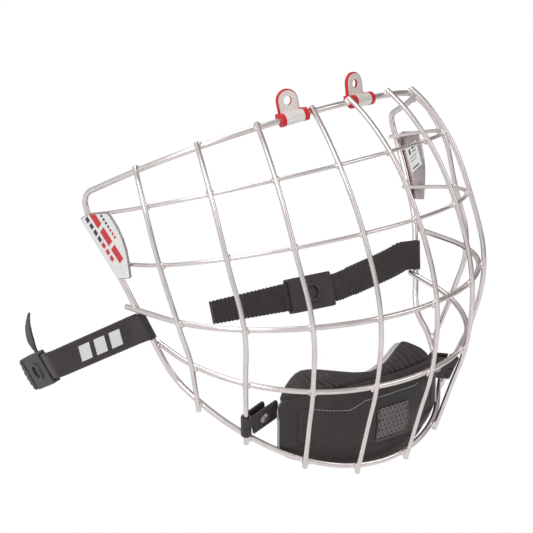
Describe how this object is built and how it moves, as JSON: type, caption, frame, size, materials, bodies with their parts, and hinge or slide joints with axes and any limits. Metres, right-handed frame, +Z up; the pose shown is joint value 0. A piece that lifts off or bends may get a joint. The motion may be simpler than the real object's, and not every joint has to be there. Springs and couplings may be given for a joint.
{
  "type": "hockey face cage",
  "caption": "Steel wire face cage with a padded chin cup held by snap tabs, pivoting helmet clips on the brow wire and webbing side straps with sliding snap plates.",
  "frame": {"origin": "midpoint between the wire centres of the two rear top corners of the cage", "axes": "+Z up as worn, -Y towards the front of the face, -X to the wearer's right, with the sight wires level"},
  "size_m": [0.2247, 0.2075, 0.2041],
  "materials": {
    "wire": "polished round wire",
    "plate": "satin sheet",
    "label": "printed film",
    "clip_steel": "bright pressed steel",
    "clip_bush": "moulded",
    "webbing": "woven nylon",
    "snap_plate": "moulded",
    "snap_ring": "dark painted",
    "shell": "fine grain",
    "foam": "soft foam",
    "liner": "brushed",
    "patch": "printed",
    "tab": "coated vinyl",
    "cap": "dark painted"
  },
  "bodies": {
    "cage": {"edge_wire": "wire", "cross_wire_1": "wire", "cross_wire_2": "wire", "cross_wire_3": "wire", "cross_wire_4": "wire", "upright_left_1": "wire", "upright_left_2": "wire", "upright_left_3": "wire", "upright_left_4": "wire", "upright_right_1": "wire", "upright_right_2": "wire", "upright_right_3": "wire", "upright_right_4": "wire", "side_plate_left": "plate", "side_plate_right": "plate", "side_label_left": "label", "side_label_right": "label", "inner_label_right": "label", "cup_shell": "shell", "cup_collar": "foam", "cup_pad": "foam", "cup_liner": "liner", "cup_patch": "patch", "tab_left": "tab", "tab_right": "tab", "tab_cap_left": "cap", "tab_cap_right": "cap"},
    "clip_left": {"clip_steel_left": "clip_steel", "clip_bush_left": "clip_bush"},
    "strap_left": {"strap_left": "webbing", "strap_tail_left": "webbing"},
    "snap_left": {"snap_plate_left": "snap_plate", "snap_ring_left": "snap_ring"},
    "flap_left": {"tab_flap_left": "tab"},
    "clip_right": {"clip_steel_right": "clip_steel", "clip_bush_right": "clip_bush"},
    "strap_right": {"strap_right": "webbing", "strap_tail_right": "webbing"},
    "snap_right": {"snap_plate_right": "snap_plate", "snap_ring_right": "snap_ring"},
    "flap_right": {"tab_flap_right": "tab"}
  },
  "joints": [
    {"name": "clip_turn_left", "type": "hinge", "parent": "cage", "child": "clip_left", "pos_m": [-0.02221, -0.08431, 0.01927], "axis": [0.9779, -0.2039, 0.0466], "range_deg": [-90, 90]},
    {"name": "clip_turn_right", "type": "hinge", "parent": "cage", "child": "clip_right", "pos_m": [0.02221, -0.08431, 0.01927], "axis": [0.9779, 0.2039, -0.0466], "range_deg": [-90, 90]},
    {"name": "strap_swing_left", "type": "hinge", "parent": "cage", "child": "strap_left", "pos_m": [-0.09025, -0.015, -0.07275], "axis": [-0.2778, 0.0746, 0.9577], "range_deg": [-50, 60]},
    {"name": "strap_swing_right", "type": "hinge", "parent": "cage", "child": "strap_right", "pos_m": [0.09025, -0.015, -0.07275], "axis": [-0.2778, -0.0746, -0.9577], "range_deg": [-8, 140]},
    {"name": "snap_slide_left", "type": "slide", "parent": "strap_left", "child": "snap_left", "axis": [0.2708, 0.9495, -0.1588], "range_m": [-0.003, 0.003]},
    {"name": "snap_slide_right", "type": "slide", "parent": "strap_right", "child": "snap_right", "axis": [-0.9985, 0.0042, 0.0544], "range_m": [-0.003, 0.003]},
    {"name": "flap_open_left", "type": "hinge", "parent": "cage", "child": "flap_left", "pos_m": [-0.06811, -0.05411, -0.13162], "axis": [-0.2483, -0.5787, 0.7768], "range_deg": [0, 50]},
    {"name": "flap_open_right", "type": "hinge", "parent": "cage", "child": "flap_right", "pos_m": [0.06811, -0.05411, -0.13162], "axis": [-0.2483, 0.5787, -0.7768], "range_deg": [0, 50]}
  ]
}
